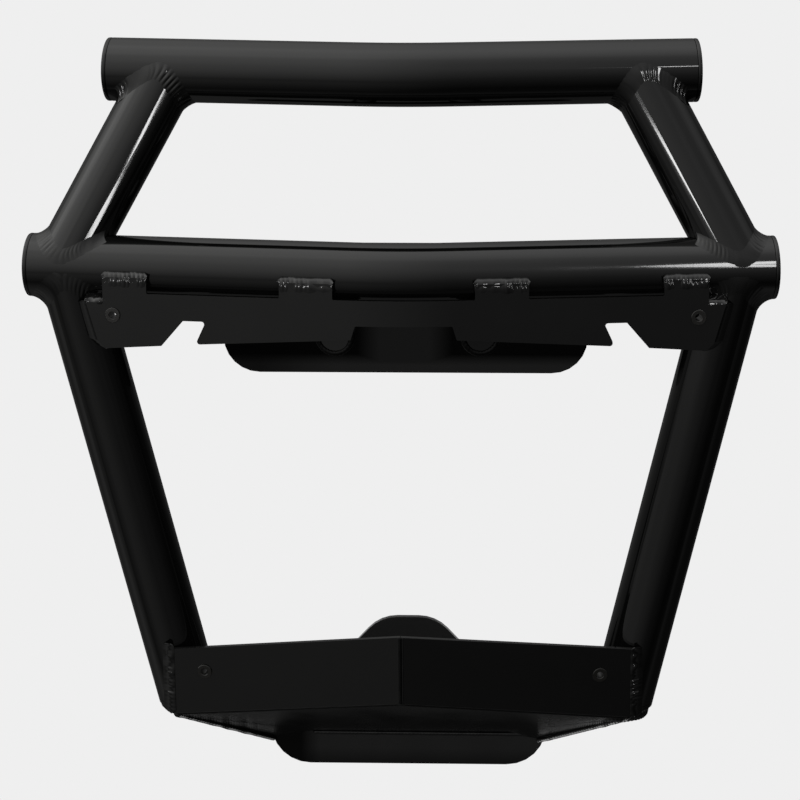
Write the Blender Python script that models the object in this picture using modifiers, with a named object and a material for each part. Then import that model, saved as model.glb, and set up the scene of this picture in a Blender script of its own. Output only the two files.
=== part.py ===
"""Front grille guard: a welded frame of black steel tube with folded plates and two mount plates.

Run with: blender --background --python part.py

Units are metres. X runs to the right as the guard is seen from the front, Y runs back towards
the vehicle, and Z is up. The design below is drawn from the point where the two straight halves
of the middle tube would meet. A root empty then moves the whole guard, so that the world origin
lies on the back face of the lower mount plate.
"""

import math

import bmesh
import bpy
from mathutils import Matrix, Vector

# ---------------------------------------------------------------- driving dimensions

GAP = 0.0003                # clearance left between neighbouring pieces, where the weld goes

TUBE_RADIUS = 0.022225      # main tube, 1 3/4 in outside diameter
TUBE_WALL = 0.0024
TUBE_SIDES = 40
SWEEP = math.radians(7.8)   # each half of a cross tube sweeps back by this angle
BEND_RADIUS = 0.250         # centre-line radius of the bend in the middle of a cross tube
BEND_STEPS = 8

MIDDLE_APEX = Vector((0.0, 0.0, 0.0))
MIDDLE_HALF_SPAN = 0.2608
TOP_APEX = Vector((0.0, 0.0414, 0.1333))
TOP_HALF_SPAN = 0.2064
END_CAP_THICKNESS = 0.0030

UPPER_STRUT_TOP_X = 0.1634      # where each upper strut's axis meets the cross tubes' axes
UPPER_STRUT_FOOT_X = 0.2366
STRUT_PARTING_Z = -0.0020       # upper struts end above this height, and lower struts below it
LOWER_STRUT_TOP = Vector((0.2333, 0.0319, 0.0))
LOWER_STRUT_FOOT = Vector((0.1583, 0.0580, -0.3200))
LOWER_STRUT_FOOT_SHIFT = 0.0011 # both feet sit this far to the right of centre
LOWER_STRUT_END_Z = -0.3245     # level cut at the foot; the cap closes it below
LOWER_STRUT_EXTRA = 0.030       # tube length beyond the foot, before the level cut

PLATE_THICKNESS = 0.0040
UPPER_PLATE_SHIFT = 0.0040      # the upper front plate sits this far to the right of centre
INSERT_HOLE_RADIUS = 0.0046

LOWER_PLATE_FOLD = math.radians(7.94)
LOWER_PLATE_LEAN = math.radians(6.49)
LOWER_PLATE_CREASE_TOP = Vector((0.0, 0.0022, -0.2617))

# Underside of the skid plate: it falls from the folded front edge to the back edge, and its two
# back corners droop a little.
SKID_CREASE = Vector((0.0, 0.0081, -0.3136))
SKID_FRONT_CORNER = Vector((0.1665, 0.0330, -0.3304))
SKID_BACK_INNER = Vector((0.0720, 0.1000, -0.3654))
SKID_BACK_CORNER = Vector((0.1000, 0.1000, -0.3705))

MOUNT_FACE_Y = 0.100            # front face of both mount plates
MOUNT_THICKNESS = 0.0050
UPPER_MOUNT_SHIFT = 0.0005      # the mount plates sit this far to the right of centre
LOWER_MOUNT_SHIFT = 0.0018
MOUNT_HOLE_RADIUS = 0.0045
UPPER_MOUNT_HALF = 0.1316
UPPER_MOUNT_TOP = 0.0031
UPPER_MOUNT_BOTTOM = -0.0918
UPPER_MOUNT_CORNER = 0.0260
UPPER_MOUNT_HOLES = [(side * 0.100, z) for side in (-1, 1) for z in (-0.012, -0.052)]
LOWER_MOUNT_HOLES = [(0.0, -0.306), (-0.055, -0.340), (0.055, -0.340)]

STANDOFF_RADIUS = 0.0127        # 1 in outside diameter
STANDOFF_WALL = 0.0020
STANDOFF_SIDES = 32
STANDOFF_X = (-0.0437, 0.0567)
STANDOFF_Z = -0.0394
STANDOFF_CAP_THICKNESS = 0.0030

ORIGIN_Z = -0.340               # height of the world origin on the lower mount plate

# Half outline of the upper front plate as (x, z, corner radius), from its centre line.
UPPER_PLATE_TOP_Z = -0.0130     # edge between the tabs
UPPER_TAB_Z = -0.0020           # tops of the tabs
UPPER_PLATE_OUTLINE = [
    (0.0490, UPPER_PLATE_TOP_Z, 0.0010), (0.0490, UPPER_TAB_Z, 0.0035),
    (0.0860, UPPER_TAB_Z, 0.0035), (0.0860, UPPER_PLATE_TOP_Z, 0.0010),
    (0.1790, UPPER_PLATE_TOP_Z, 0.0010), (0.1790, UPPER_TAB_Z, 0.0035),
    (0.2100, UPPER_TAB_Z, 0.0035), (0.2100, -0.0200, 0.0010),
    (0.2220, -0.0200, 0.0010), (0.2140, -0.0475, 0.0025),
    (0.2090, -0.0525, 0.0025), (0.1690, -0.0495, 0.0005),
    (0.1535, -0.0313, 0.0005), (0.1375, -0.0313, 0.0020),
    (0.1450, -0.0477, 0.0020), (0.0365, -0.0408, 0.0005),
    (0.0335, -0.0310, 0.0012),
]

# Half outlines of the other flat pieces, in the same form.
LOWER_PLATE_OUTLINE = [         # without its outer top corner, which differs left and right
    (GAP / 2, -0.2617, 0.0), (0.1665, -0.3304, 0.0010), (GAP / 2, -0.3136, 0.0),
]
LOWER_PLATE_OUTER_TOP = {"left": (0.1665, -0.2798, 0.0015), "right": (0.1665, -0.2768, 0.0015)}
LOWER_MOUNT_OUTLINE = [
    (0.0204, -0.2764, 0.0290), (0.0450, -0.3027, 0.0200),
    (0.1018, -0.3560, 0.0040), (0.1018, -0.3902, 0.0290),
]
SKID_OUTLINE = [                # (x, y, corner radius), seen from above
    (0.0, 0.0128, 0.0), (0.1620, 0.0372, 0.0008), (0.1000, MOUNT_FACE_Y - GAP, 0.0008),
]

UPPER_INSERT_X = 0.2030         # from the plate's own centre line
UPPER_INSERT_Z = -0.0287
LOWER_INSERT = Vector((0.1418, 0.0, -0.2957))
INSERT_BORE_RADIUS = 0.0025
INSERT_BODY_RADIUS = 0.0043
INSERT_FLANGE_RADIUS = 0.0054
INSERT_FLANGE_THICKNESS = 0.0009
INSERT_DEPTH = 0.0110           # from the plate's front face to the end of the body
INSERT_STEPS = 20

BLACK_COAT = (0.010, 0.010, 0.010)
ZINC = (0.060, 0.058, 0.055)

# ---------------------------------------------------------------- scene and helpers


def new_collection(name):
    found = bpy.data.collections.new(name)
    bpy.context.scene.collection.children.link(found)
    return found


def clear_scene():
    for obj in list(bpy.data.objects):
        bpy.data.objects.remove(obj, do_unlink=True)


def new_material(name, colour, roughness, metallic):
    made = bpy.data.materials.new(name)
    made.use_nodes = True
    shader = made.node_tree.nodes["Principled BSDF"]
    shader.inputs["Base Color"].default_value = (*colour, 1.0)
    shader.inputs["Roughness"].default_value = roughness
    shader.inputs["Metallic"].default_value = metallic
    return made


def put(obj, collection):
    """Moves an object to a collection and hangs it on the root empty."""
    for owner in list(obj.users_collection):
        owner.objects.unlink(obj)
    collection.objects.link(obj)
    obj.parent = root
    return obj


def as_part(obj, name, colour=BLACK_COAT, roughness=0.16, metallic=0.0):
    """Names an object as a sub-part of the guard and gives it a material of its own."""
    put(obj, parts)
    obj.name = name
    obj.data.name = name
    obj.data.materials.clear()
    obj.data.materials.append(new_material(name + "_finish", colour, roughness, metallic))
    return obj


def as_cutter(obj, name):
    put(obj, cutters)
    obj.name = name
    obj.hide_render = True
    obj.display_type = 'WIRE'
    return obj


def smooth(obj, angle=math.radians(35)):
    obj.data.shade_smooth()
    obj.data.set_sharp_from_angle(angle=angle)
    return obj


def cut(obj, cutter, operation='DIFFERENCE'):
    step = obj.modifiers.new(operation.title() + " " + cutter.name, 'BOOLEAN')
    step.object = cutter
    step.operation = operation
    step.solver = 'EXACT'
    return obj


def hollow(obj, wall):
    """Gives an open surface a wall, inwards from its outside."""
    step = obj.modifiers.new("Wall", 'SOLIDIFY')
    step.thickness = wall
    step.offset = -1.0
    return obj


def curve_to_mesh(curve_object):
    """Replaces a curve object with a mesh object of the same shape and place."""
    bpy.context.view_layer.update()
    evaluated = curve_object.evaluated_get(bpy.context.evaluated_depsgraph_get())
    mesh = bpy.data.meshes.new_from_object(evaluated)
    shape = bmesh.new()
    shape.from_mesh(mesh)
    bmesh.ops.remove_doubles(shape, verts=shape.verts, dist=0.000001)
    shape.to_mesh(mesh)
    shape.free()
    made = bpy.data.objects.new(curve_object.name, mesh)
    made.matrix_world = curve_object.matrix_world
    bpy.context.scene.collection.objects.link(made)
    bpy.data.objects.remove(curve_object, do_unlink=True)
    return made


def polyline(points, dimensions, closed):
    curve = bpy.data.curves.new("path", 'CURVE')
    curve.dimensions = dimensions
    spline = curve.splines.new('POLY')
    spline.points.add(len(points) - 1)
    for point, position in zip(spline.points, points):
        point.co = (*position, 1.0)
    spline.use_cyclic_u = closed
    made = bpy.data.objects.new("path", curve)
    bpy.context.scene.collection.objects.link(made)
    return made


def rounded(corners, steps=5):
    """Turns corners given as (a, b, radius) into outline points, with an arc at each corner."""
    outline = []
    for index, (a, b, radius) in enumerate(corners):
        here = Vector((a, b))
        before = Vector(corners[index - 1][:2]) - here
        after = Vector(corners[(index + 1) % len(corners)][:2]) - here
        if radius == 0.0:
            outline.append(here)
            continue
        half_angle = before.angle(after) / 2.0
        reach = radius / math.tan(half_angle)
        start = here + before.normalized() * reach
        end = here + after.normalized() * reach
        middle = (before.normalized() + after.normalized()).normalized()
        centre = here + middle * (radius / math.sin(half_angle))
        turn = math.pi - 2.0 * half_angle
        start_arm, end_arm = start - centre, end - centre
        count = max(2, round(steps * turn / (math.pi / 2.0)) + 1)
        for step in range(count + 1):
            share = step / count
            arm = (start_arm * math.sin((1.0 - share) * turn) + end_arm * math.sin(share * turn))
            outline.append(centre + arm / math.sin(turn))
    return outline


def mirrored(half_outline, shift=0.0):
    """A whole outline from the corners of its right half, about a centre line at x = shift."""
    left = [(-a, b, radius) for a, b, radius in reversed(half_outline) if a > 0.0]
    return [(a + shift, b, radius) for a, b, radius in half_outline + left]


def prism(corners, half_depth, upright):
    """A rounded outline made solid: along Y if it stands upright, along Z if it lies flat."""
    outline = polyline([(a, b, 0.0) for a, b in rounded(corners)], '2D', closed=True)
    outline.data.fill_mode = 'BOTH'
    outline.data.extrude = half_depth
    if upright:
        outline.rotation_euler.x = math.pi / 2.0
    return curve_to_mesh(outline)


def bend_path(apex, half_span, outwards=0.0):
    """Points in plan along a cross tube's line, or along a line a little in front of it."""
    centre_y = apex.y + BEND_RADIUS / math.cos(SWEEP)
    radius = BEND_RADIUS + outwards
    arc = []
    for step in range(BEND_STEPS + 1):
        angle = SWEEP * (2.0 * step / BEND_STEPS - 1.0)
        arc.append((radius * math.sin(angle), centre_y - radius * math.cos(angle), apex.z))
    end_y = apex.y + half_span * math.tan(SWEEP) - outwards / math.cos(SWEEP)
    return [(-half_span, end_y, apex.z)] + arc + [(half_span, end_y, apex.z)]


def bent_tube(apex, half_span, radius, capped):
    """A round tube along the bent line: an open skin, or a solid bar when it is capped."""
    line = polyline(bend_path(apex, half_span), '3D', closed=False)
    line.data.bevel_depth = radius
    line.data.bevel_resolution = (TUBE_SIDES - 4) // 2
    line.data.use_fill_caps = capped
    return curve_to_mesh(line)


def folded_sheet(path, half_height):
    """A plate of the standard thickness, standing on a folded line, with the line in its middle."""
    line = polyline([(x, y, 0.0) for x, y, _ in path], '2D', closed=False)
    line.data.extrude = half_height
    sheet = curve_to_mesh(line)
    step = sheet.modifiers.new("Thickness", 'SOLIDIFY')
    step.thickness = PLATE_THICKNESS
    step.offset = 0.0
    step.use_even_offset = True
    return sheet


def cylinder(radius, start, end, sides=TUBE_SIDES, filled=True):
    """A straight cylinder between two points."""
    along = end - start
    bpy.ops.mesh.primitive_cylinder_add(
        vertices=sides, radius=radius, depth=along.length,
        end_fill_type='NGON' if filled else 'NOTHING',
        location=(start + end) / 2.0, rotation=along.to_track_quat('Z', 'Y').to_euler())
    return smooth(bpy.context.object)


def half_space(height, above, name, size=0.8):
    """A big block that takes away everything above or below a level."""
    middle = height + (size if above else -size) / 2.0
    bpy.ops.mesh.primitive_cube_add(size=size, location=(0.0, 0.0, middle))
    return as_cutter(bpy.context.object, name)


# ---------------------------------------------------------------- tubes


def cross_tube(name, apex, half_span):
    """A bent cross tube and the flat caps on its two ends."""
    cut_back = (END_CAP_THICKNESS + GAP) * math.cos(SWEEP)
    skin = smooth(bent_tube(apex, half_span - cut_back, TUBE_RADIUS, capped=False))
    as_part(hollow(skin, TUBE_WALL), name)
    for side, word in ((-1, "left"), (1, "right")):
        outwards = Vector((side * math.cos(SWEEP), math.sin(SWEEP), 0.0))
        end = apex + Vector((side * half_span, half_span * math.tan(SWEEP), 0.0))
        cap = cylinder(TUBE_RADIUS, end - outwards * END_CAP_THICKNESS, end)
        step = cap.modifiers.new("Edge", 'BEVEL')
        step.width = 0.0007
        step.segments = 2
        as_part(cap, f"{name}_cap_{word}")


def upper_strut(side, word, top_saddle, middle_saddle, parting_below):
    """A strut between the cross tubes, with both ends coped round them."""
    top = TOP_APEX + Vector((side * UPPER_STRUT_TOP_X, UPPER_STRUT_TOP_X * math.tan(SWEEP), 0.0))
    foot = MIDDLE_APEX + Vector((side * UPPER_STRUT_FOOT_X, UPPER_STRUT_FOOT_X * math.tan(SWEEP), 0.0))
    strut = hollow(cylinder(TUBE_RADIUS, foot, top, filled=False), TUBE_WALL)
    for cutter in (top_saddle, middle_saddle, parting_below):
        cut(strut, cutter)
    as_part(strut, f"upper_strut_{word}")


def lower_strut(side, word, middle_saddle, parting_above, level_cut, skid_clearance):
    """A strut from the middle tube down to the skid plate, and the cap on its foot."""
    mirror = Vector((side, 1.0, 1.0))
    top = LOWER_STRUT_TOP * mirror
    foot = LOWER_STRUT_FOOT * mirror + Vector((LOWER_STRUT_FOOT_SHIFT, 0.0, 0.0))
    foot += (foot - top).normalized() * LOWER_STRUT_EXTRA
    strut = hollow(cylinder(TUBE_RADIUS, top, foot, filled=False), TUBE_WALL)
    for cutter in (middle_saddle, parting_above, level_cut):
        cut(strut, cutter)
    as_part(strut, f"lower_strut_{word}")

    cap = cylinder(TUBE_RADIUS, top, foot)
    bpy.ops.mesh.primitive_cube_add(size=1.0, location=(
        0.0, foot.y, LOWER_STRUT_END_Z - GAP - END_CAP_THICKNESS / 2.0))
    slab = bpy.context.object
    slab.scale = (0.6, 0.2, END_CAP_THICKNESS)
    cut(cut(cap, as_cutter(slab, f"lower_strut_cap_slab_{word}"), 'INTERSECT'), skid_clearance)
    as_part(cap, f"lower_strut_cap_{word}")


# ---------------------------------------------------------------- plates


def insert_profile():
    """Half section of a threaded insert as (radius, distance behind the plate's front face)."""
    face = -GAP - INSERT_FLANGE_THICKNESS
    chamfer = 0.0003
    return [
        (INSERT_BORE_RADIUS + chamfer, face), (INSERT_FLANGE_RADIUS - chamfer, face),
        (INSERT_FLANGE_RADIUS, face + chamfer), (INSERT_FLANGE_RADIUS, -GAP),
        (INSERT_BODY_RADIUS, -GAP), (INSERT_BODY_RADIUS, INSERT_DEPTH),
        (INSERT_BORE_RADIUS, INSERT_DEPTH), (INSERT_BORE_RADIUS, face + chamfer),
    ]


def threaded_insert(name, position, inwards):
    """A flanged insert that fills a plate's hole; inwards points from the front to the back."""
    profile = polyline([(r, 0.0, depth) for r, depth in insert_profile()], '3D', closed=True)
    turned = curve_to_mesh(profile)
    turned.matrix_world = Matrix.LocRotScale(position, inwards.to_track_quat('Z', 'Y'), None)
    step = turned.modifiers.new("Turn", 'SCREW')
    step.axis = 'Z'
    step.steps = INSERT_STEPS
    step.render_steps = INSERT_STEPS
    step.use_merge_vertices = True
    step.merge_threshold = 0.00001
    step.use_normal_calculate = True
    as_part(turned, name, ZINC, roughness=0.4, metallic=0.6)


def insert_hole(name, position, inwards):
    """The hole that a threaded insert sits in."""
    reach = inwards * 0.02
    return as_cutter(cylinder(INSERT_HOLE_RADIUS, position - reach, position + reach, sides=24), name)


def upper_front_plate():
    """The tabbed plate on the front of the middle tube, folded as the tube is bent."""
    plate = prism(mirrored(UPPER_PLATE_OUTLINE, UPPER_PLATE_SHIFT), 0.1, upright=True)
    outwards = TUBE_RADIUS + GAP + PLATE_THICKNESS / 2.0
    path = bend_path(MIDDLE_APEX, MIDDLE_HALF_SPAN, outwards)
    cut(plate, as_cutter(folded_sheet(path, 0.1), "upper_front_plate_sheet"), 'INTERSECT')
    face_offset = (TUBE_RADIUS + GAP + PLATE_THICKNESS) / math.cos(SWEEP)
    for side, word in ((-1, "left"), (1, "right")):
        x = UPPER_PLATE_SHIFT + side * UPPER_INSERT_X
        position = Vector((x, abs(x) * math.tan(SWEEP) - face_offset, UPPER_INSERT_Z))
        inwards = Vector((-side * math.sin(SWEEP), math.cos(SWEEP), 0.0))
        cut(plate, insert_hole(f"upper_insert_hole_{word}", position, inwards))
        threaded_insert(f"upper_threaded_insert_{word}", position, inwards)
    as_part(plate, "upper_front_plate")


def lower_front_plates():
    """The folded plate across the feet of the lower struts, in two halves with a seam."""
    reach = 0.2
    fold = math.tan(LOWER_PLATE_FOLD)
    sheet = folded_sheet([(-reach, reach * fold, 0), (0, 0, 0), (reach, reach * fold, 0)], 0.1)
    sheet.rotation_euler.x = LOWER_PLATE_LEAN
    depth = PLATE_THICKNESS / (2.0 * math.cos(LOWER_PLATE_FOLD) * math.cos(LOWER_PLATE_LEAN))
    sheet.location = LOWER_PLATE_CREASE_TOP + Vector((0.0, depth, 0.0))
    as_cutter(sheet, "lower_front_plate_sheet")
    for side, word in ((-1, "left"), (1, "right")):
        half = [LOWER_PLATE_OUTLINE[0], LOWER_PLATE_OUTER_TOP[word], *LOWER_PLATE_OUTLINE[1:]]
        corners = [(side * x, z, radius) for x, z, radius in half]
        plate = prism(corners[::side], 0.1, upright=True)
        cut(plate, sheet, 'INTERSECT')
        x, z = side * LOWER_INSERT.x, LOWER_INSERT.z
        lean = math.tan(LOWER_PLATE_LEAN)
        y = LOWER_PLATE_CREASE_TOP.y + abs(x) * fold / math.cos(LOWER_PLATE_LEAN)
        y += (LOWER_PLATE_CREASE_TOP.z - z) * lean
        position = Vector((x, y, z))
        inwards = Vector((-side * fold / math.cos(LOWER_PLATE_LEAN), 1.0, lean)).normalized()
        cut(plate, insert_hole(f"lower_insert_hole_{word}", position, inwards))
        threaded_insert(f"lower_threaded_insert_{word}", position, inwards)
        as_part(plate, f"lower_front_plate_{word}")


def skid_sheet(name, thickness):
    """The skid plate's folded sheet, with its underside in place and its edges run long."""
    hinge_front = SKID_BACK_INNER.lerp(SKID_FRONT_CORNER, 1.1)
    back_corner = SKID_BACK_INNER.lerp(SKID_BACK_CORNER, 2.5)
    shape = bmesh.new()
    crease = shape.verts.new(SKID_CREASE)
    wings = []
    for side in (-1, 1):
        mirror = Vector((side, 1.0, 1.0))
        wing = [shape.verts.new(corner * mirror)
                for corner in (hinge_front, back_corner, SKID_BACK_INNER)]
        wings.append(wing)
        shape.faces.new([crease, wing[0], wing[2]][::side])
        shape.faces.new(wing[::side])
    shape.faces.new([crease, wings[1][2], wings[0][2]])
    bmesh.ops.recalc_face_normals(shape, faces=shape.faces)
    if shape.faces[0].normal.z < 0.0:
        bmesh.ops.reverse_faces(shape, faces=shape.faces)
    mesh = bpy.data.meshes.new(name)
    shape.to_mesh(mesh)
    shape.free()
    sheet = bpy.data.objects.new(name, mesh)
    step = sheet.modifiers.new("Thickness", 'SOLIDIFY')
    step.thickness = thickness
    step.offset = 1.0
    step.use_even_offset = True
    return as_cutter(sheet, name)


def skid_plate():
    """The plate that runs down and back from the lower front plate."""
    plate = prism(mirrored(SKID_OUTLINE), 0.2, upright=False)
    plate.location.z = SKID_CREASE.z
    cut(plate, skid_sheet("skid_sheet", PLATE_THICKNESS), 'INTERSECT')
    as_part(plate, "skid_plate")


def mount_plate(name, corners, holes, shift):
    """A flat upright plate that bolts to the vehicle."""
    plate = prism(mirrored(corners, shift), MOUNT_THICKNESS / 2.0, upright=True)
    plate.location.y = MOUNT_FACE_Y + MOUNT_THICKNESS / 2.0
    for index, (x, z) in enumerate(holes, start=1):
        front = Vector((x + shift, MOUNT_FACE_Y - MOUNT_THICKNESS, z))
        back = front + Vector((0.0, 3.0 * MOUNT_THICKNESS, 0.0))
        cut(plate, as_cutter(cylinder(MOUNT_HOLE_RADIUS, front, back, sides=24), f"{name}_hole_{index}"))
    as_part(plate, name)


def standoff(x, word):
    """A short tube from the upper front plate back to the upper mount plate, and its front cap."""
    side = math.copysign(1.0, x)
    plate_back = abs(x) * math.tan(SWEEP) - (TUBE_RADIUS + GAP) / math.cos(SWEEP)
    centre = Vector((x, plate_back, STANDOFF_Z))
    inwards = Vector((-side * math.sin(SWEEP), math.cos(SWEEP), 0.0))
    cap_end = centre + inwards * (GAP + STANDOFF_CAP_THICKNESS)
    as_part(cylinder(STANDOFF_RADIUS, centre + inwards * GAP, cap_end, STANDOFF_SIDES),
            f"upper_standoff_cap_{word}")

    back = Vector((x, MOUNT_FACE_Y - GAP, STANDOFF_Z))
    tube = cylinder(STANDOFF_RADIUS, centre, back, STANDOFF_SIDES, filled=False)
    hollow(tube, STANDOFF_WALL)
    bpy.ops.mesh.primitive_cube_add(size=0.06)
    block = bpy.context.object
    turn = Matrix.Rotation(side * SWEEP, 4, 'Z')
    block.matrix_world = (Matrix.Translation(cap_end + inwards * GAP) @ turn
                          @ Matrix.Translation((0.0, -0.03, 0.0)))
    cut(tube, as_cutter(block, f"upper_standoff_front_{word}"))
    as_part(tube, f"upper_standoff_{word}")


# ---------------------------------------------------------------- assembly


clear_scene()
parts = new_collection("front_grille_guard")
cutters = new_collection("cutters")
root = bpy.data.objects.new("guard_origin", None)
root.location = (0.0, -MOUNT_FACE_Y - MOUNT_THICKNESS, -ORIGIN_Z)
parts.objects.link(root)

saddle_radius = TUBE_RADIUS + GAP
saddle_span = MIDDLE_HALF_SPAN + 0.05
middle_saddle = as_cutter(bent_tube(MIDDLE_APEX, saddle_span, saddle_radius, True), "middle_saddle")
top_saddle = as_cutter(bent_tube(TOP_APEX, saddle_span, saddle_radius, True), "top_saddle")
parting_below = half_space(STRUT_PARTING_Z, False, "parting_below")
parting_above = half_space(STRUT_PARTING_Z - GAP, True, "parting_above")
level_cut = half_space(LOWER_STRUT_END_Z, False, "strut_level_cut")
skid_clearance = skid_sheet("skid_clearance", PLATE_THICKNESS + GAP)

cross_tube("top_tube", TOP_APEX, TOP_HALF_SPAN)
cross_tube("middle_tube", MIDDLE_APEX, MIDDLE_HALF_SPAN)
for side, word in ((-1, "left"), (1, "right")):
    upper_strut(side, word, top_saddle, middle_saddle, parting_below)
    lower_strut(side, word, middle_saddle, parting_above, level_cut, skid_clearance)

upper_front_plate()
lower_front_plates()
skid_plate()
upper_corners = [(UPPER_MOUNT_HALF, UPPER_MOUNT_TOP, UPPER_MOUNT_CORNER),
                 (UPPER_MOUNT_HALF, UPPER_MOUNT_BOTTOM, UPPER_MOUNT_CORNER)]
mount_plate("upper_mount_plate", upper_corners, UPPER_MOUNT_HOLES, UPPER_MOUNT_SHIFT)
mount_plate("lower_mount_plate", LOWER_MOUNT_OUTLINE, LOWER_MOUNT_HOLES, LOWER_MOUNT_SHIFT)
for x, word in zip(STANDOFF_X, ("left", "right")):
    standoff(x, word)

bpy.context.view_layer.update()
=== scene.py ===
"""Looks of the front grille guard: gloss black powder coat, weld beads, studio light and camera.

Distances are in metres. Places on the guard are given in the part's design frame, whose origin is
the point where the two straight halves of the middle tube would meet.
"""

import math

import bpy
from mathutils import Matrix, Vector, noise


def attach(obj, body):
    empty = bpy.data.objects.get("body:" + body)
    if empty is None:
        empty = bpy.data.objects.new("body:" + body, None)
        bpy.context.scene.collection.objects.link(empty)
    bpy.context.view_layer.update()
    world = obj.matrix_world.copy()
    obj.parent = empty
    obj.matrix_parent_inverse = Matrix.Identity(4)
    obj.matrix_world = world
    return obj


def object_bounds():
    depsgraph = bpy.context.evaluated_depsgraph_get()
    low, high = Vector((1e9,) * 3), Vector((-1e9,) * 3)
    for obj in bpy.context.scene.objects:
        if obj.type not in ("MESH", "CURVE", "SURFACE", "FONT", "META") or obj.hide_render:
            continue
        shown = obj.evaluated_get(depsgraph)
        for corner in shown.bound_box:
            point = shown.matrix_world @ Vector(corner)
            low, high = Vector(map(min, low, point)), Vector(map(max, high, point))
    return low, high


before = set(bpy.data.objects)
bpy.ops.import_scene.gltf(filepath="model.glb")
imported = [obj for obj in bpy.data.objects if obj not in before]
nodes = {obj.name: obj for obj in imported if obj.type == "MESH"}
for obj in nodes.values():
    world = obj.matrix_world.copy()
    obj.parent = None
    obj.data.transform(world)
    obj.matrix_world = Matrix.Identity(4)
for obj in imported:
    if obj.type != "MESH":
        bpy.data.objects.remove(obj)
cad_low, cad_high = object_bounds()

# ---------------------------------------------------------------- places on the guard

DESIGN_ORIGIN = Vector((0.0, -0.105, 0.340))    # the design frame's origin in this scene
GAP = 0.0003                                    # clearance between neighbouring pieces
TUBE_RADIUS = 0.022225
SWEEP = math.tan(math.radians(7.8))             # how far a cross tube goes back for each step out

TOP_APEX = Vector((0.0, 0.0414, 0.1333))
UPPER_STRUT_TOP_X = 0.1634
UPPER_STRUT_FOOT_X = 0.2366
LOWER_STRUT_TOP_X = 0.2333
LOWER_STRUT_FOOT = Vector((0.1583, 0.0580, -0.3200))
LOWER_STRUT_FOOT_SHIFT = 0.0011
LOWER_STRUT_FOOT_RIM_Z = -0.3288
# Inset from the tube's skin, radius, and drop below the foot; the right foot has the heavier weld.
FOOT_WELDS = {"left": (0.0030, 0.0036, 0.0), "right": (0.0044, 0.0046, 0.0030)}

UPPER_PLATE_SHIFT = 0.0040
TABS = [(0.049, 0.086), (0.179, 0.210)]         # both halves of the upper plate have these
TAB_TOP_Z = -0.0020
LOWER_PLATE_EDGE_TOP = Vector((0.1665, 0.0267, -0.2785))
LOWER_PLATE_EDGE_FOOT = Vector((0.1665, 0.0325, -0.3300))
CREASE_TOP = Vector((0.0, 0.0022, -0.2617))
CREASE_FOOT = Vector((0.0, 0.0081, -0.3136))
SKID_BACK_INNER = Vector((0.0720, 0.1000, -0.3654))
SKID_BACK_CORNER = Vector((0.1000, 0.1000, -0.3705))
STANDOFF_RADIUS = 0.0127
STANDOFFS = [(-0.0437, "left"), (0.0567, "right")]
STANDOFF_Z = -0.0394
MOUNT_FACE_Y = 0.100

# Weld lines on the upper front plate, as (x, z) from the plate's own centre line.
UPPER_CORNER_WELD = [(0.2085, -0.0190), (0.2230, -0.0190)]
UPPER_END_WELD = [(0.2222, -0.0195), (0.2185, -0.0330), (0.2145, -0.0470), (0.2080, -0.0530)]
UPPER_WELD_DEPTH = 0.0030                       # in front of the middle tube's skin
TAB_WELD_OVERLAP = 0.0008                       # past the tab's ends and its top

# ---------------------------------------------------------------- camera

CAMERA_YAW = math.radians(2.3)          # round to the right of the guard's centre plane
CAMERA_PITCH = math.radians(13.5)       # looking down
CAMERA_ROLL = math.radians(-0.22)
CAMERA_DISTANCE = 2.416
CAMERA_LENS = 157.5                     # in millimetres, as is the sensor's width
CAMERA_SENSOR = 36.0
CAMERA_AIM = Vector((0.0013, -0.1250, 0.2567))


def make_camera():
    back = Vector((math.sin(CAMERA_YAW) * math.cos(CAMERA_PITCH),
                   -math.cos(CAMERA_YAW) * math.cos(CAMERA_PITCH), math.sin(CAMERA_PITCH)))
    level_right = Vector((math.cos(CAMERA_YAW), math.sin(CAMERA_YAW), 0.0))
    level_up = back.cross(level_right)
    right = level_right * math.cos(CAMERA_ROLL) + level_up * math.sin(CAMERA_ROLL)
    up = back.cross(right)
    data = bpy.data.cameras.new("camera")
    data.lens = CAMERA_LENS
    data.sensor_width = CAMERA_SENSOR
    data.clip_start, data.clip_end = 0.1, 50.0
    camera = bpy.data.objects.new("camera", data)
    bpy.context.scene.collection.objects.link(camera)
    turn = Matrix((right, up, back)).transposed().to_4x4()
    camera.matrix_world = Matrix.Translation(CAMERA_AIM + back * CAMERA_DISTANCE) @ turn
    bpy.context.scene.camera = camera


# ---------------------------------------------------------------- materials

COAT_IOR = 1.5
MOTTLE_SCALE = 38.0
GLOSS_SCALE = 24.0
PEEL_DEPTH = 0.0001


def node_material(name):
    made = bpy.data.materials.new(name)
    made.use_nodes = True
    tree = made.node_tree
    return made, tree, tree.nodes["Principled BSDF"]


def add_noise(tree, coordinates, scale, detail=3.0, roughness=0.5):
    made = tree.nodes.new("ShaderNodeTexNoise")
    made.inputs["Scale"].default_value = scale
    made.inputs["Detail"].default_value = detail
    made.inputs["Roughness"].default_value = roughness
    tree.links.new(coordinates, made.inputs["Vector"])
    return made.outputs["Fac"]


def remap(tree, value, low, high, to_low, to_high):
    made = tree.nodes.new("ShaderNodeMapRange")
    sockets = ("From Min", "From Max", "To Min", "To Max")
    for socket, number in zip(sockets, (low, high, to_low, to_high)):
        made.inputs[socket].default_value = number
    tree.links.new(value, made.inputs["Value"])
    return made.outputs["Result"]


def combine(tree, operation, first, second=None):
    made = tree.nodes.new("ShaderNodeMath")
    made.operation = operation
    for socket, value in zip(made.inputs, (first, second)):
        if value is not None:
            tree.links.new(value, socket)
    return made.outputs["Value"]


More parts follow.
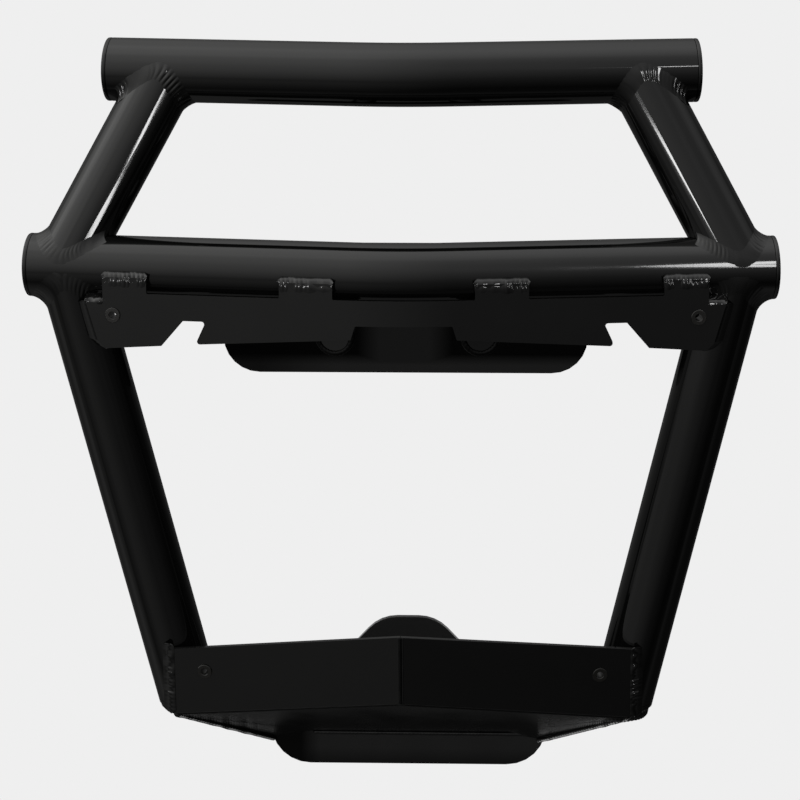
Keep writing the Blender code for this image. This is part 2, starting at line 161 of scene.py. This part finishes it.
def coat(name, dark, light, gloss, peel, peel_scale=420.0, metallic=0.0):
    """A coat with faint mottling, uneven gloss (lowest, highest roughness) and fine orange peel."""
    made, tree, shader = node_material(name)
    place = tree.nodes.new("ShaderNodeNewGeometry").outputs["Position"]
    mottle = tree.nodes.new("ShaderNodeMix")
    mottle.data_type = 'RGBA'
    mottle.inputs["A"].default_value = (*dark, 1.0)
    mottle.inputs["B"].default_value = (*light, 1.0)
    tree.links.new(add_noise(tree, place, MOTTLE_SCALE, 4.0), mottle.inputs["Factor"])
    tree.links.new(mottle.outputs["Result"], shader.inputs["Base Color"])
    unevenness = add_noise(tree, place, GLOSS_SCALE, 2.0)
    tree.links.new(remap(tree, unevenness, 0.3, 0.7, *gloss), shader.inputs["Roughness"])
    bump = tree.nodes.new("ShaderNodeBump")
    bump.inputs["Strength"].default_value = peel
    bump.inputs["Distance"].default_value = PEEL_DEPTH
    tree.links.new(add_noise(tree, place, peel_scale, 1.0), bump.inputs["Height"])
    tree.links.new(bump.outputs["Normal"], shader.inputs["Normal"])
    shader.inputs["IOR"].default_value = COAT_IOR
    shader.inputs["Metallic"].default_value = metallic
    return made


def painted_shade_coat(name, base, fades, painted_lit_band=None, painted_light_colour=None):
    """The same coat with painted shade: its gloss fades in places, where the guard shades it.

    Each fade of painted shade is (axis, from, to, gloss at from, gloss at to) in the design frame,
    and they are multiplied. The lit band, (axis, centre, reach, gloss) measured in the scene, is
    painted light: a place that stays glossy. The colour change, (axis, from, to, colour), is
    painted light too: the coat turns to that colour.
    """
    made = coat(name, base, tuple(part * 1.4 for part in base), (0.18, 0.30), 0.15)
    tree = made.node_tree
    split = tree.nodes.new("ShaderNodeSeparateXYZ")
    place = tree.nodes.new("ShaderNodeNewGeometry").outputs["Position"]
    tree.links.new(place, split.inputs["Vector"])
    # Painted shade: the fades turn the specular level down where the guard shades the piece.
    gloss = None
    for axis, start, end, low, high in fades:
        shift = DESIGN_ORIGIN["XYZ".index(axis)]
        fade = remap(tree, split.outputs[axis], start + shift, end + shift, low, high)
        gloss = combine(tree, 'MULTIPLY', gloss, fade) if gloss else fade
    # Painted light: a lit band keeps its gloss where the fades would turn it down.
    if painted_lit_band:
        axis, centre, reach, level = painted_lit_band
        offset = remap(tree, split.outputs[axis], centre - 1.0, centre + 1.0, -1.0, 1.0)
        near = remap(tree, combine(tree, 'ABSOLUTE', offset), reach / 2.0, reach, level, 0.0)
        gloss = combine(tree, 'MAXIMUM', gloss, near)
    shader = tree.nodes["Principled BSDF"]
    tree.links.new(gloss, shader.inputs["Specular IOR Level"])
    # Painted light: the base colour turns lighter along an axis.
    if painted_light_colour:
        axis, start, end, colour = painted_light_colour
        shift = DESIGN_ORIGIN["XYZ".index(axis)]
        blend = tree.nodes.new("ShaderNodeMix")
        blend.data_type = 'RGBA'
        blend.inputs["B"].default_value = (*colour, 1.0)
        tree.links.new(shader.inputs["Base Color"].links[0].from_socket, blend.inputs["A"])
        tree.links.new(remap(tree, split.outputs[axis], start + shift, end + shift, 0.0, 1.0),
                       blend.inputs["Factor"])
        tree.links.new(blend.outputs["Result"], shader.inputs["Base Color"])
    return made


# ---------------------------------------------------------------- surface finish of the CAD nodes

JOIN_DISTANCE = 0.00001
SHARP_ANGLE = math.radians(25.0)
FLAT_ANGLE = math.radians(0.6)
PLATE_EDGE = 0.0007                     # width of a plate's softened edge
PLATE_EDGE_ANGLE = math.radians(35.0)


def smoothing_nodes():
    """Geometry nodes that join split points and shade smoothly up to a sharp edge."""
    tree = bpy.data.node_groups.new("join_and_smooth", 'GeometryNodeTree')
    tree.interface.new_socket("Geometry", in_out='INPUT', socket_type='NodeSocketGeometry')
    tree.interface.new_socket("Geometry", in_out='OUTPUT', socket_type='NodeSocketGeometry')
    join = tree.nodes.new("GeometryNodeMergeByDistance")
    join.inputs["Distance"].default_value = JOIN_DISTANCE
    angle = tree.nodes.new("GeometryNodeInputMeshEdgeAngle")
    sharp = tree.nodes.new("FunctionNodeCompare")
    sharp.data_type = 'FLOAT'
    sharp.operation = 'GREATER_THAN'
    sharp.inputs["B"].default_value = SHARP_ANGLE
    normal = tree.nodes.new("GeometryNodeSetMeshNormal")
    normal.mode = 'SHARPNESS'
    tree.links.new(tree.nodes.new("NodeGroupInput").outputs[0], join.inputs["Geometry"])
    tree.links.new(angle.outputs["Unsigned Angle"], sharp.inputs["A"])
    tree.links.new(sharp.outputs["Result"], normal.inputs["Edge Sharpness"])
    tree.links.new(join.outputs["Geometry"], normal.inputs["Mesh"])
    tree.links.new(normal.outputs["Mesh"], tree.nodes.new("NodeGroupOutput").inputs[0])
    return tree


def finish_node(node, material, smoothing, edge=0.0):
    """Material, smooth shading, and softened sheet edges where the node is a plate."""
    node.data.materials.clear()
    node.data.materials.append(material)
    node.modifiers.new("smooth", 'NODES').node_group = smoothing
    if edge:
        flatten = node.modifiers.new("flatten", 'DECIMATE')
        flatten.decimate_type = 'DISSOLVE'
        flatten.angle_limit = FLAT_ANGLE
        soften = node.modifiers.new("soften", 'BEVEL')
        soften.width = edge
        soften.segments = 2
        soften.limit_method = 'ANGLE'
        soften.angle_limit = PLATE_EDGE_ANGLE
        soften.harden_normals = True


# ---------------------------------------------------------------- weld beads

BEAD_PITCH = 0.0026         # length of one ripple of a bead
RIPPLE_PITCH = 0.0032       # length of one ripple of a fillet
FILLET_STEP = 0.0004
FILLET_TAPER = 0.003        # a straight fillet narrows over this length at each end
FILLET_END_WIDTH = 0.15     # and keeps at least this share of its width
SADDLE_ROUNDING = 0.16      # rounds off the two places where a saddle seam turns sharply
WELD_SINK = 0.0001          # a saddle weld's edges lie this far below the tubes' skin


def smooth_mesh(name, verts, faces):
    mesh = bpy.data.meshes.new(name)
    mesh.from_pydata(verts, [], faces)
    mesh.polygons.foreach_set("use_smooth", [True] * len(faces))
    return mesh


def bead_mesh(name, path, outwards, radius, pitch, closed, seed):
    """A rippled weld bead swept along a dense path; each ripple is a crescent."""
    sides = 12
    count = len(path)
    verts, faces = [], []
    run = 0.0
    total = sum((path[i + 1] - path[i]).length for i in range(count - 1))
    for i, point in enumerate(path):
        if i:
            run += (point - path[i - 1]).length
        ahead = path[(i + 1) % count] if closed else path[min(i + 1, count - 1)]
        behind = path[i - 1] if closed else path[max(i - 1, 0)]
        along = (ahead - behind).normalized()
        out = (outwards[i] - along * outwards[i].dot(along)).normalized()
        across = along.cross(out)
        wander = 1.0 + 0.22 * noise.noise(Vector((run * 120.0, seed, 0.0)))
        taper = 1.0
        if not closed:
            end = min(run, total - run) / radius
            taper = math.sqrt(max(0.02, min(1.0, end)))
        for k in range(sides):
            turn = 2.0 * math.pi * k / sides
            lean = 0.45 * math.cos(turn)
            drift = 0.15 * math.sin(seed + run * 300.0)
            crest = abs(math.sin(math.pi * (run / pitch + lean + drift)))
            size = radius * wander * taper * (0.92 + 0.08 * crest)
            verts.append(point + (out * math.cos(turn) * 0.85 + across * math.sin(turn)) * size)
    rings = count if closed else count - 1
    for i in range(rings):
        here, there = i * sides, ((i + 1) % count) * sides
        for k in range(sides):
            step = (k + 1) % sides
            faces.append((here + k, here + step, there + step, there + k))
    if not closed:
        faces.append(tuple(reversed(range(sides))))
        faces.append(tuple(range((count - 1) * sides, count * sides)))
    return smooth_mesh(name, verts, faces)


def resample(points, step, closed):
    """Points at even distances along a line through the given points."""
    line = points + points[:1] if closed else points
    lengths = [0.0]
    for a, b in zip(line, line[1:]):
        lengths.append(lengths[-1] + (b - a).length)
    count = max(4, round(lengths[-1] / step))
    even, seen = [], 0
    for i in range(count if closed else count + 1):
        target = lengths[-1] * i / count
        while seen < len(line) - 2 and lengths[seen + 1] < target:
            seen += 1
        span = lengths[seen + 1] - lengths[seen]
        even.append(line[seen].lerp(line[seen + 1], (target - lengths[seen]) / span))
    return even


def place_weld(name, mesh, material=None):
    made = bpy.data.objects.new(name, mesh)
    bpy.context.scene.collection.objects.link(made)
    made.data.materials.append(material or weld_coat)
    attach(made, "root")
    welds.append(made)


def weld(name, points, outward, radius, closed=False, pitch=BEAD_PITCH, material=None):
    """Lays a bead along points of the design frame. outward(point) is the side that shows."""
    path = resample([Vector(point) for point in points], pitch / 6.0, closed)
    outwards = [outward(point) for point in path]
    mesh = bead_mesh(name, [point + DESIGN_ORIGIN for point in path], outwards,
                     radius, pitch, closed, name_seed(name))
    place_weld(name, mesh, material)


def name_seed(name):
    return float(sum(ord(letter) for letter in name) % 97)


def fillet(name, seam, first, second, outs, swell, ripple=0.0007, lumps=0.5, closed=False):
    """A weld that blends one surface into another along their seam.

    first and second hold the weld's edge on each surface for every point of the seam. The weld is
    smooth in places and shows crescent ripples in others.
    """
    across = 9
    seed = name_seed(name)
    verts, faces = [], []
    run = 0.0
    for i, middle in enumerate(seam):
        if i:
            run += (middle - seam[i - 1]).length
        rough = 0.35 + 2.2 * noise.noise(Vector((run * 45.0, seed, 3.0)))
        rough = max(0.04, min(1.0, rough))
        lump = swell * (1.0 + lumps * noise.noise(Vector((run * 150.0, seed, 9.0))))
        for k in range(across):
            v = k / (across - 1)
            crest = abs(math.sin(math.pi * (run / RIPPLE_PITCH + 1.4 * v * (1.0 - v))))
            rise = math.sin(math.pi * v) * (lump + ripple * rough * (crest - 0.5))
            point = first[i] * (1.0 - v) ** 2 + middle * 2.0 * v * (1.0 - v) + second[i] * v ** 2
            verts.append(point + outs[i] * rise + DESIGN_ORIGIN)
    count = len(seam)
    for i in range(count if closed else count - 1):
        here, there = i * across, ((i + 1) % count) * across
        for k in range(across - 1):
            faces.append((here + k, here + k + 1, there + k + 1, there + k))
    place_weld(name, smooth_mesh(name, verts, faces))


def straight_fillet(name, ends, to_first, to_second, out, swell, ripple=0.0004, lumps=0.5):
    """A fillet along a line through some points, with its edges at fixed offsets from the line."""
    seam = resample([Vector(point) for point in ends], FILLET_STEP, False)
    length = len(seam) - 1
    first, second = [], []
    for i, point in enumerate(seam):
        from_end = min(i, length - i) * FILLET_STEP
        width = min(1.0, math.sqrt(from_end / FILLET_TAPER) + FILLET_END_WIDTH)
        first.append(point + Vector(to_first) * width)
        second.append(point + Vector(to_second) * width)
    fillet(name, seam, first, second, [Vector(out).normalized()] * len(seam), swell, ripple, lumps)


def cross_tube_point(apex, x):
    return apex + Vector((x, abs(x) * SWEEP, 0.0))


def saddle_weld(name, joint, strut, side, width, swell, outer=0.0):
    """The weld where a strut meets a cross tube of the same diameter.

    It reaches further down the strut on the outer side, by outer.
    """
    strut = strut.normalized()
    tube = Vector((1.0, side * SWEEP, 0.0)).normalized()
    start = strut.cross(Vector((0.0, 1.0, 0.0))).normalized()
    quarter = strut.cross(start)
    lean = strut.dot(tube)
    count = 420
    seam, normals, tube_normals = [], [], []
    for i in range(count):
        turn = 2.0 * math.pi * i / count
        normal = start * math.cos(turn) + quarter * math.sin(turn)
        slope = normal.dot(tube)
        reach = TUBE_RADIUS * (slope * lean + math.hypot(slope, SADDLE_ROUNDING))
        reach /= 1.0 - lean * lean
        point = joint + normal * TUBE_RADIUS + strut * reach
        from_tube = point - joint
        from_tube -= tube * from_tube.dot(tube)
        seam.append(point)
        normals.append(normal)
        tube_normals.append(from_tube.normalized())
    first, second, outs = [], [], []
    for i, point in enumerate(seam):
        along = (seam[(i + 3) % count] - seam[i - 3]).normalized()
        down = along.cross(tube_normals[i])
        if down.dot(strut) > 0.0:
            down.negate()
        down = (down - along * down.dot(along)).normalized()
        on_tube = point + down * width - joint
        straight = tube * on_tube.dot(tube)
        on_tube = (on_tube - straight).normalized() * (TUBE_RADIUS - WELD_SINK) + straight
        first.append(point + strut * (width + outer * max(0.0, side * normals[i].x) ** 2)
                     - normals[i] * WELD_SINK)
        second.append(joint + on_tube)
        outs.append((normals[i] + tube_normals[i]).normalized())
    fillet(name, seam, first, second, outs, swell, closed=True)


def ring_weld(name, centre, axis, ring_radius, radius, material=None):
    """A bead round a round tube's end."""
    axis = axis.normalized()
    first = axis.orthogonal().normalized()
    second = axis.cross(first)
    points = []
    for i in range(96):
        turn = 2.0 * math.pi * i / 96
        points.append(centre + (first * math.cos(turn) + second * math.sin(turn)) * ring_radius)
    weld(name, points, lambda point: (point - centre).normalized(), radius, closed=True,
         material=material)


def upper_plate_point(x, z):
    """A point of a weld line on the upper front plate, with x from the plate's centre line."""
    x += UPPER_PLATE_SHIFT
    return x, abs(x) * SWEEP - TUBE_RADIUS - UPPER_WELD_DEPTH, z


def lay_welds():
    front = Vector((0.0, -1.0, 0.25))
    below = Vector((0.0, -0.3, -1.0))
    for side, word in ((-1, "left"), (1, "right")):
        mirror = Vector((side, 1.0, 1.0))
        top = cross_tube_point(TOP_APEX, side * UPPER_STRUT_TOP_X)
        foot = cross_tube_point(Vector(), side * UPPER_STRUT_FOOT_X)
        saddle_weld(f"weld_top_joint_{word}", top, foot - top, side, 0.0070, 0.0006, outer=0.0035)
        saddle_weld(f"weld_middle_joint_upper_{word}", foot, top - foot, side, 0.0066, 0.0005)
        strut_top = cross_tube_point(Vector(), side * LOWER_STRUT_TOP_X)
        strut_foot = LOWER_STRUT_FOOT * mirror + Vector((LOWER_STRUT_FOOT_SHIFT, 0.0, 0.0))
        strut = strut_foot - strut_top
        saddle_weld(f"weld_middle_joint_lower_{word}", strut_top, strut, side, 0.0092, 0.0004)

        inset, radius, drop = FOOT_WELDS[word]
        reach = (LOWER_STRUT_FOOT_RIM_Z - drop - strut_top.z) / strut.z
        ring_weld(f"weld_strut_foot_{word}", strut_top + strut * reach, Vector((0.0, 0.0, 1.0)),
                  TUBE_RADIUS - inset, radius)

        for index, (start, end) in enumerate(TABS, start=1):
            line = [upper_plate_point(side * x, TAB_TOP_Z + TAB_WELD_OVERLAP)
                    for x in (start - TAB_WELD_OVERLAP, end + TAB_WELD_OVERLAP)]
            straight_fillet(f"weld_tab_{index}_{word}", line, (0.0, -0.0012, -0.0095),
                            (0.0, 0.0032, 0.0030), (0.0, -1.0, 0.5), 0.0020, 0.0007)

        line = [upper_plate_point(side * x, z) for x, z in UPPER_CORNER_WELD]
        straight_fillet(f"weld_upper_plate_corner_{word}", line, (0.0, -0.0010, -0.0035),
                        (0.0, 0.0060, 0.0040), (0.0, -1.0, 0.5), 0.0020, 0.0002, 1.2)

        edge = [upper_plate_point(side * x, z) for x, z in UPPER_END_WELD]
        straight_fillet(f"weld_upper_plate_end_{word}", edge, (-side * 0.0040, -0.0012, 0.0),
                        (side * 0.0060, 0.0056, 0.0), (side * 0.7, -1.0, 0.0), 0.0006, 0.0001, 0.2)

        straight_fillet(f"weld_lower_plate_end_{word}",
                        [(LOWER_PLATE_EDGE_TOP + Vector((0.0002, 0.0010, 0.0030))) * mirror,
                         (LOWER_PLATE_EDGE_FOOT + Vector((0.0002, 0.0010, 0.0))) * mirror],
                        (-side * 0.0030, -0.0012, 0.0), (side * 0.0060, 0.0052, 0.0),
                        (side * 0.5, -1.0, 0.0), 0.0011, 0.0005, 1.1)
        weld(f"weld_skid_side_{word}",
             [(LOWER_PLATE_EDGE_FOOT + Vector((-0.0010, 0.0025, -0.0005))) * mirror,
              SKID_BACK_CORNER * mirror + Vector((-side * 0.0030, 0.0, -0.0010))],
             lambda point: Vector((side, 0.0, -1.0)), 0.0024)
        # Painted shade: this bead is a dark line under the lower plates' bottom edge.
        weld(f"weld_skid_front_{word}",
             [CREASE_FOOT + Vector((side * 0.002, 0.0010, -0.0002)),
              (LOWER_PLATE_EDGE_FOOT + Vector((-0.003, 0.0010, -0.0002))) * mirror],
             lambda point: below, 0.0010, pitch=0.0022, material=painted_shade_weld_coat)

    # Painted shade: the middle crease bead is a dark groove between two lips.
    for name, x, y, radius, material in (("weld_crease", 0.0, 0.0004, 0.0010, painted_shade_weld_coat),
                                         ("weld_crease_lip_left", -0.0015, 0.0006, 0.0007, None),
                                         ("weld_crease_lip_right", 0.0015, 0.0006, 0.0007, None)):
        weld(name, [CREASE_TOP + Vector((x, y, 0.0)), CREASE_FOOT + Vector((x, y, 0.0))],
             lambda point: front, radius, pitch=0.0020, material=material)
    back = SKID_BACK_INNER.z
    weld("weld_skid_back", [(-0.069, 0.0990, back - 0.0003), (0.092, 0.0990, back - 0.0006)],
         lambda point: below, 0.0020)
    for x, word in STANDOFFS:
        ring_weld(f"weld_standoff_back_{word}", Vector((x, MOUNT_FACE_Y - 0.0008, STANDOFF_Z)),
                  Vector((0.0, 1.0, 0.0)), STANDOFF_RADIUS, 0.0026)
        # Painted shade: the ring at the standoff's front end is dark.
        plate_back = abs(x) * SWEEP - (TUBE_RADIUS + GAP)
        ring_weld(f"weld_standoff_front_{word}", Vector((x, plate_back + 0.0012, STANDOFF_Z)),
                  Vector((-math.copysign(SWEEP, x), 1.0, 0.0)), STANDOFF_RADIUS - 0.0008, 0.0026,
                  painted_shade_weld_coat)


# ---------------------------------------------------------------- studio

PALE = 0.863        # the pale background of the studio, as the camera sees it
FLOOR_DROP = 1.2    # the guard hangs this far above the studio floor
FLOOR_SIZE = 60.0

# Brightness of the studio by height angle in degrees: 0 is level in front, 90 straight up and 180
# level behind. The left side of the studio is the brighter one.
LEFT_WALL = [(-180, 0.08), (-140, 0.05), (-100, 0.17), (-76, 0.12), (-58, 0.05), (-45, 0.11),
             (-27, 0.21), (-18, 0.20), (-9, 0.35), (15, 0.66), (30, 0.80), (45, 1.02),
             (60, 1.15), (72, 1.45), (100, 1.45), (115, 1.00), (126, 0.78), (143, 0.52),
             (156, 0.22), (180, 0.08)]
RIGHT_WALL = [(-180, 0.06), (-140, 0.02), (-100, 0.06), (-76, 0.14), (-60, 0.03), (-46, 0.01),
              (-27, 0.07), (-9, 0.15), (0, 0.23), (15, 0.35), (30, 0.49), (45, 0.52), (60, 0.64),
              (72, 0.92), (85, 1.10), (100, 1.05), (116, 0.80), (128, 0.58), (145, 0.20),
              (180, 0.07)]
WALL_BLEND = (-0.36, 0.28)      # the left wall passes into the right one between these
# Both walls are multiplied by this, from the far left at -1 to the far right at 1.
SIDE_GAIN = [(-1.0, 1.40), (-0.8, 1.25), (-0.5, 1.25), (-0.35, 1.05), (0.4, 1.00), (0.55, 0.85),
             (0.8, 0.55), (0.9, 0.38), (1.0, 0.30)]
BRIGHTEST = 1.5
OLIVE = (1.0, 1.0, 0.985)       # the left wall's faint tint


def brightness_ramp(tree, value, low, high, stops, top, tint=(1.0, 1.0, 1.0)):
    ramp = tree.nodes.new("ShaderNodeValToRGB")
    tree.links.new(remap(tree, value, low, high, 0.0, 1.0), ramp.inputs["Fac"])
    elements = ramp.color_ramp.elements
    while len(elements) < len(stops):
        elements.new(0.5)
    for element, (place, level) in zip(elements, stops):
        element.position = (place - low) / (high - low)
        element.color = (*(level / top * part for part in tint), 1.0)
    return ramp.outputs["Color"]


def make_world():
    """A soft studio round the guard; the camera sees only its pale backdrop."""
    world = bpy.data.worlds.new("studio")
    bpy.context.scene.world = world
    world.use_nodes = True
    tree = world.node_tree
    tree.nodes.clear()
    split = tree.nodes.new("ShaderNodeSeparateXYZ")
    direction = tree.nodes.new("ShaderNodeTexCoord").outputs["Generated"]
    tree.links.new(direction, split.inputs["Vector"])
    forward = combine(tree, 'MULTIPLY', split.outputs["Y"])
    forward.node.inputs[1].default_value = -1.0
    degrees = combine(tree, 'DEGREES', combine(tree, 'ARCTAN2', split.outputs["Z"], forward))

    walls = tree.nodes.new("ShaderNodeMix")
    walls.data_type = 'RGBA'
    tree.links.new(remap(tree, split.outputs["X"], *WALL_BLEND, 0.0, 1.0), walls.inputs["Factor"])
    left = brightness_ramp(tree, degrees, -180.0, 180.0, LEFT_WALL, BRIGHTEST, OLIVE)
    right = brightness_ramp(tree, degrees, -180.0, 180.0, RIGHT_WALL, BRIGHTEST)
    tree.links.new(left, walls.inputs["A"])
    tree.links.new(right, walls.inputs["B"])
    gain = tree.nodes.new("ShaderNodeMix")
    gain.data_type = 'RGBA'
    gain.blend_type = 'MULTIPLY'
    gain.inputs["Factor"].default_value = 1.0
    tree.links.new(walls.outputs["Result"], gain.inputs["A"])
    tree.links.new(brightness_ramp(tree, split.outputs["X"], -1.0, 1.0, SIDE_GAIN, BRIGHTEST),
                   gain.inputs["B"])

    soft = tree.nodes.new("ShaderNodeBackground")
    soft.inputs["Strength"].default_value = BRIGHTEST * BRIGHTEST
    tree.links.new(gain.outputs["Result"], soft.inputs["Color"])
    backdrop = tree.nodes.new("ShaderNodeBackground")
    backdrop.inputs["Color"].default_value = (PALE, PALE, PALE, 1.0)
    mix = tree.nodes.new("ShaderNodeMixShader")
    seen = tree.nodes.new("ShaderNodeLightPath").outputs["Is Camera Ray"]
    tree.links.new(seen, mix.inputs["Fac"])
    tree.links.new(soft.outputs["Background"], mix.inputs[1])
    tree.links.new(backdrop.outputs["Background"], mix.inputs[2])
    output = tree.nodes.new("ShaderNodeOutputWorld")
    tree.links.new(mix.outputs["Shader"], output.inputs["Surface"])


def make_floor():
    bpy.ops.mesh.primitive_plane_add(size=FLOOR_SIZE, location=(0.0, 0.0, cad_low.z - FLOOR_DROP))
    floor = bpy.context.object
    floor.name = "floor"
    made = bpy.data.materials.new("pale_floor")
    made.use_nodes = True
    tree = made.node_tree
    tree.nodes.clear()
    glow = tree.nodes.new("ShaderNodeEmission")
    glow.inputs["Color"].default_value = (PALE, PALE, PALE, 1.0)
    mix = tree.nodes.new("ShaderNodeMixShader")     # the floor is seen from above only
    backfacing = tree.nodes.new("ShaderNodeNewGeometry").outputs["Backfacing"]
    tree.links.new(backfacing, mix.inputs["Fac"])
    tree.links.new(glow.outputs["Emission"], mix.inputs[1])
    tree.links.new(tree.nodes.new("ShaderNodeBsdfTransparent").outputs["BSDF"], mix.inputs[2])
    output = tree.nodes.new("ShaderNodeOutputMaterial")
    tree.links.new(mix.outputs["Shader"], output.inputs["Surface"])
    floor.data.materials.append(made)
    for kind in ("diffuse", "glossy", "transmission", "volume_scatter", "shadow"):
        setattr(floor, f"visible_{kind}", False)


LIGHT_DISTANCE = 9.0    # from the guard's centre


def facing(azimuth, elevation):
    """A direction from the guard. Azimuth 0 is in front, and it grows to the right."""
    a, e = math.radians(azimuth), math.radians(elevation)
    return Vector((math.sin(a) * math.cos(e), -math.cos(a) * math.cos(e), math.sin(e)))


def strip_light(name, start, end, width, radiance, receivers):
    """A long soft box between two directions, width degrees wide, for some pieces only."""
    first, last = facing(*start), facing(*end)
    away = (first + last).normalized()
    along = (last - first).normalized()
    data = bpy.data.lights.new(name, 'AREA')
    data.shape = 'RECTANGLE'
    data.size = LIGHT_DISTANCE * (last - first).length
    data.size_y = LIGHT_DISTANCE * 2.0 * math.tan(math.radians(width / 2.0))
    data.energy = radiance * math.pi * data.size * data.size_y
    light = bpy.data.objects.new(name, data)
    bpy.context.scene.collection.objects.link(light)
    turn = Matrix((along, away.cross(along), away)).transposed().to_4x4()
    place = (cad_low + cad_high) / 2.0 + away * LIGHT_DISTANCE
    light.matrix_world = Matrix.Translation(place) @ turn
    linked = bpy.data.collections.new(f"{name}_receivers")
    for piece in receivers:
        linked.objects.link(piece)
    light.light_linking.receiver_collection = linked


# ---------------------------------------------------------------- assembly

BLACK = (0.0022, 0.0022, 0.0022)
SOFT_BLACK = (0.0036, 0.0036, 0.0035)
PAINTED_SHADE_COAT_BLACK = (0.003, 0.003, 0.003)
WELD_PEEL_SCALE = 700.0

tube_coat = coat("tube_powder_coat", BLACK, SOFT_BLACK, (0.05, 0.08), 0.02)
plate_coat = coat("plate_powder_coat", BLACK, SOFT_BLACK, (0.10, 0.20), 0.10)
# Painted shade and painted light: the skid's gloss is turned down towards its front, and its colour
# turns lighter towards the back.
skid_painted_shade_coat = painted_shade_coat("skid_powder_coat_painted_shade_and_light", PAINTED_SHADE_COAT_BLACK, [
    ("Y", 0.035, 0.095, 0.32, 0.70)],
    painted_light_colour=("Y", 0.062, 0.098, (0.018, 0.018, 0.018)))
# Painted shade and painted light: the upper mount plate's gloss is turned down near its top, under
# the front plate, and towards its left end, but a lit band in the middle keeps it.
upper_mount_painted_shade_coat = painted_shade_coat("upper_mount_powder_coat", PAINTED_SHADE_COAT_BLACK, [
    ("Z", -0.078, -0.086, 0.03, 0.50), ("X", -0.105, -0.050, 0.40, 1.00)],
    painted_lit_band=("X", 0.000, 0.036, 0.36))
# Painted shade and painted light: the lower mount plate's gloss is turned down at its left end and
# along its bottom edge, and its colour turns lighter towards its top, the arch.
lower_mount_painted_shade_coat = painted_shade_coat("lower_mount_powder_coat", (0.005, 0.005, 0.005), [
    ("X", -0.078, -0.064, 0.05, 0.55), ("Z", -0.391, -0.378, 0.35, 1.00)],
    painted_light_colour=("Z", -0.330, -0.300, (0.028, 0.028, 0.028)))
weld_coat = coat("weld_powder_coat", BLACK, SOFT_BLACK, (0.07, 0.14), 0.15, WELD_PEEL_SCALE)
# Painted shade: a near-black weld coat with little specular, for beads that stand where shade
# falls: the crease's groove, the line under the lower plates and the rings at the standoffs'
# fronts.
painted_shade_weld_coat = coat("painted_shade_weld_powder_coat", (0.001, 0.001, 0.001), (0.002, 0.002, 0.002),
                   (0.30, 0.45), 0.15, WELD_PEEL_SCALE)
painted_shade_weld_coat.node_tree.nodes["Principled BSDF"].inputs["Specular IOR Level"].default_value = 0.12
zinc = coat("blackened_zinc", (0.006, 0.006, 0.005), (0.014, 0.013, 0.012), (0.16, 0.30), 0.25,
            peel_scale=900.0, metallic=0.3)

PLATES = {"upper_front_plate": plate_coat, "lower_front_plate_left": plate_coat,
          "lower_front_plate_right": plate_coat, "upper_mount_plate": upper_mount_painted_shade_coat,
          "lower_mount_plate": lower_mount_painted_shade_coat, "skid_plate": skid_painted_shade_coat}

welds = []
smoothing = smoothing_nodes()
for name, node in nodes.items():
    if name in PLATES:
        finish_node(node, PLATES[name], smoothing, edge=PLATE_EDGE)
    elif "insert" in name:
        finish_node(node, zinc, smoothing)
    else:
        finish_node(node, tube_coat, smoothing)
lay_welds()

bpy.context.scene.view_settings.view_transform = 'Standard'
make_camera()
make_world()
make_floor()
DULL_WELDS = ("standoff", "joint_upper", "skid", "crease")
glinting = [piece for piece in welds if not any(word in piece.name for word in DULL_WELDS)]
glinting += [node for name, node in nodes.items() if "insert" in name]
strip_light("right_strip", (17.0, 7.0), (36.5, -10.2), 1.3, 22.0,
            [nodes["upper_strut_left"], *glinting])
strip_light("left_strip", (-34.5, -4.3), (-27.2, -0.3), 2.9, 22.0,
            [nodes["upper_strut_right"], *glinting])
for part, start, end, width in (("upper", (22.2, 23.8), (27.1, 31.6), 7.4),
                                ("lower", (19.9, 24.1), (22.2, 13.2), 2.4)):
    strip_light(f"window_{part}", start, end, width, 16.0, [nodes["middle_tube"], *glinting])
strip_light("top_window", (19.1, 23.0), (22.5, 25.5), 1.0, 20.0, [nodes["top_tube"]])
for word, start, end, radiance in (("left", (85.0, -35.0), (150.0, -55.0), 2.0),
                                   ("right", (-85.0, -35.0), (-150.0, -55.0), 3.0)):
    strip_light(f"low_{word}", start, end, 40.0, radiance,
                [piece for piece in welds if piece.name == f"weld_skid_side_{word}"])
strip_light("back_fill", (145.0, -12.0), (215.0, -12.0), 45.0, 0.5,
            [nodes["upper_mount_plate"], nodes["lower_mount_plate"]])
